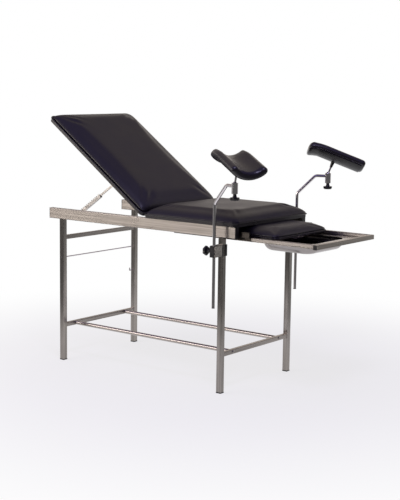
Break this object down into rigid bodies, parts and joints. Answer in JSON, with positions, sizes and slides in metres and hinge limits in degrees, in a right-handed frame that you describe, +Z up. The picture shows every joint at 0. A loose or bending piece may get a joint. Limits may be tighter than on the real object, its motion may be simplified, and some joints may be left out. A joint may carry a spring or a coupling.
{
  "type": "medical exam table",
  "caption": "Gynaecological examination table: welded steel stand, padded seat, ratchet backrest, pull-out foot section with catch tray, and knee crutches on clamped swing posts.",
  "frame": {"origin": "on the floor plane, below the middle of the table's bounding box, with the backrest raised 35.7 degrees and the foot section pulled out", "axes": "+X points from the head end to the foot end, +Y from the near side to the far side, and +Z up"},
  "size_m": [1.4944, 1.032, 1.2056],
  "materials": {
    "steel": "brushed",
    "tray_steel": "polished",
    "chrome": "polished",
    "zinc_steel": "satin",
    "black_vinyl": "satin",
    "black_board": "satin",
    "black_plastic": "satin"
  },
  "bodies": {
    "stand": {"rail_near": "steel", "rail_far": "steel", "rail_end_caps": "black_plastic", "leg_head_near": "steel", "leg_head_far": "steel", "leg_foot_near": "steel", "leg_foot_far": "steel", "feet": "black_plastic", "head_bar_upper": "steel", "head_bar_lower": "steel", "foot_bar_lower": "steel", "stretcher_near": "steel", "stretcher_far": "steel", "stretcher_screws": "zinc_steel", "paper_tear_rod": "chrome", "side_hook": "chrome", "seat_board": "black_board", "seat_cushion": "black_vinyl", "slide_guide_near": "steel", "slide_guide_far": "steel", "hinge_leaves_seat": "zinc_steel", "hinge_pins": "zinc_steel", "strut_rail_pivots": "zinc_steel", "clamp_body_near": "black_plastic", "clamp_body_far": "black_plastic", "clamp_plates": "zinc_steel"},
    "backrest": {"backrest_board": "black_board", "backrest_cushion": "black_vinyl", "hinge_leaves_backrest": "zinc_steel", "strut_lugs": "zinc_steel"},
    "foot_section": {"foot_side_bar_near": "steel", "foot_side_bar_far": "steel", "foot_end_bar": "steel", "foot_end_plugs": "black_plastic", "foot_cross_ties": "steel", "leg_board": "black_board", "leg_cushion": "black_vinyl", "tray_runners": "steel"},
    "tray": {"catch_tray": "tray_steel"},
    "strut_inner_near": {"strut_bar_near": "zinc_steel"},
    "strut_outer_near": {"strut_channel_near": "zinc_steel"},
    "clamp_knob_near": {"clamp_knob_near": "black_plastic"},
    "post_lift_near": {"post_tip_near": "black_plastic"},
    "post_near": {"crutch_post_near": "chrome"},
    "lock_knob_near": {"lock_knob_near": "black_plastic"},
    "ball_cup_near": {"ball_cup_near": "zinc_steel"},
    "crutch_near": {"ball_stud_near": "chrome", "crutch_shell_near": "black_plastic", "crutch_cushion_near": "black_vinyl"},
    "strut_inner_far": {"strut_bar_far": "zinc_steel"},
    "strut_outer_far": {"strut_channel_far": "zinc_steel"},
    "clamp_knob_far": {"clamp_knob_far": "black_plastic"},
    "post_lift_far": {"post_tip_far": "black_plastic"},
    "post_far": {"crutch_post_far": "chrome"},
    "lock_knob_far": {"lock_knob_far": "black_plastic"},
    "ball_cup_far": {"ball_cup_far": "zinc_steel"},
    "crutch_far": {"ball_stud_far": "chrome", "crutch_shell_far": "black_plastic", "crutch_cushion_far": "black_vinyl"}
  },
  "joints": [
    {"name": "backrest_tilt", "type": "hinge", "parent": "stand", "child": "backrest", "pos_m": [-0.1546, -0.00575, 0.738], "axis": [0, 1, 0], "range_deg": [-35.7, 4.3]},
    {"name": "foot_section_slide", "type": "slide", "parent": "stand", "child": "foot_section", "axis": [1, 0, 0], "range_m": [-0.3, 0]},
    {"name": "tray_slide", "type": "slide", "parent": "foot_section", "child": "tray", "axis": [1, 0, 0], "range_m": [-0.15, 0]},
    {"name": "strut_near_swing", "type": "hinge", "parent": "backrest", "child": "strut_inner_near", "pos_m": [-0.36635, -0.2292, 0.88031], "axis": [0, -1, 0], "range_deg": [-65, 8]},
    {"name": "strut_near_slide", "type": "slide", "parent": "strut_inner_near", "child": "strut_outer_near", "axis": [-0.8185, 0, -0.5745], "range_m": [-0.097, 0.0125]},
    {"name": "clamp_knob_near_turn", "type": "hinge", "parent": "stand", "child": "clamp_knob_near", "pos_m": [0.24415, -0.3252, 0.634], "axis": [-1, 0, 0], "range_deg": [-180, 180]},
    {"name": "post_near_lift", "type": "slide", "parent": "stand", "child": "post_lift_near", "axis": [0, 0, 1], "range_m": [-0.12, 0.19]},
    {"name": "post_near_swing", "type": "hinge", "parent": "post_lift_near", "child": "post_near", "pos_m": [0.28415, -0.3252, 0.6], "axis": [0, 0, -1], "range_deg": [-10, 90]},
    {"name": "lock_knob_near_turn", "type": "hinge", "parent": "post_near", "child": "lock_knob_near", "pos_m": [0.42182, -0.37073, 0.88], "axis": [0, 0, 1], "range_deg": [-180, 180]},
    {"name": "crutch_near_turn", "type": "hinge", "parent": "post_near", "child": "ball_cup_near", "pos_m": [0.42182, -0.37073, 0.9365], "axis": [0, 0, -1], "range_deg": [-45, 45]},
    {"name": "crutch_near_tilt", "type": "hinge", "parent": "ball_cup_near", "child": "crutch_near", "pos_m": [0.42182, -0.37073, 0.9365], "axis": [0.532, 0.8453, -0.049], "range_deg": [-25, 20]},
    {"name": "strut_far_swing", "type": "hinge", "parent": "backrest", "child": "strut_inner_far", "pos_m": [-0.36635, 0.2177, 0.88031], "axis": [0, -1, 0], "range_deg": [-65, 8]},
    {"name": "strut_far_slide", "type": "slide", "parent": "strut_inner_far", "child": "strut_outer_far", "axis": [-0.8185, 0, -0.5745], "range_m": [-0.097, 0.0125]},
    {"name": "clamp_knob_far_turn", "type": "hinge", "parent": "stand", "child": "clamp_knob_far", "pos_m": [0.24415, 0.3137, 0.634], "axis": [-1, 0, 0], "range_deg": [-180, 180]},
    {"name": "post_far_lift", "type": "slide", "parent": "stand", "child": "post_lift_far", "axis": [0, 0, 1], "range_m": [-0.12, 0.19]},
    {"name": "post_far_swing", "type": "hinge", "parent": "post_lift_far", "child": "post_far", "pos_m": [0.28415, 0.3137, 0.6], "axis": [0, 0, 1], "range_deg": [-10, 90]},
    {"name": "lock_knob_far_turn", "type": "hinge", "parent": "post_far", "child": "lock_knob_far", "pos_m": [0.42182, 0.35923, 0.88], "axis": [0, 0, 1], "range_deg": [-180, 180]},
    {"name": "crutch_far_turn", "type": "hinge", "parent": "post_far", "child": "ball_cup_far", "pos_m": [0.42182, 0.35923, 0.9365], "axis": [0, 0, 1], "range_deg": [-45, 45]},
    {"name": "crutch_far_tilt", "type": "hinge", "parent": "ball_cup_far", "child": "crutch_far", "pos_m": [0.42182, 0.35923, 0.9365], "axis": [-0.5612, 0.8247, -0.07], "range_deg": [-30, 14]}
  ],
  "couplings": [
    {"joint": "strut_near_swing", "follows": "backrest_tilt", "ratio": 1.8},
    {"joint": "strut_near_slide", "follows": "backrest_tilt", "m_per_rad": 0.1547},
    {"joint": "strut_far_swing", "follows": "backrest_tilt", "ratio": 1.8},
    {"joint": "strut_far_slide", "follows": "backrest_tilt", "m_per_rad": 0.1547}
  ]
}
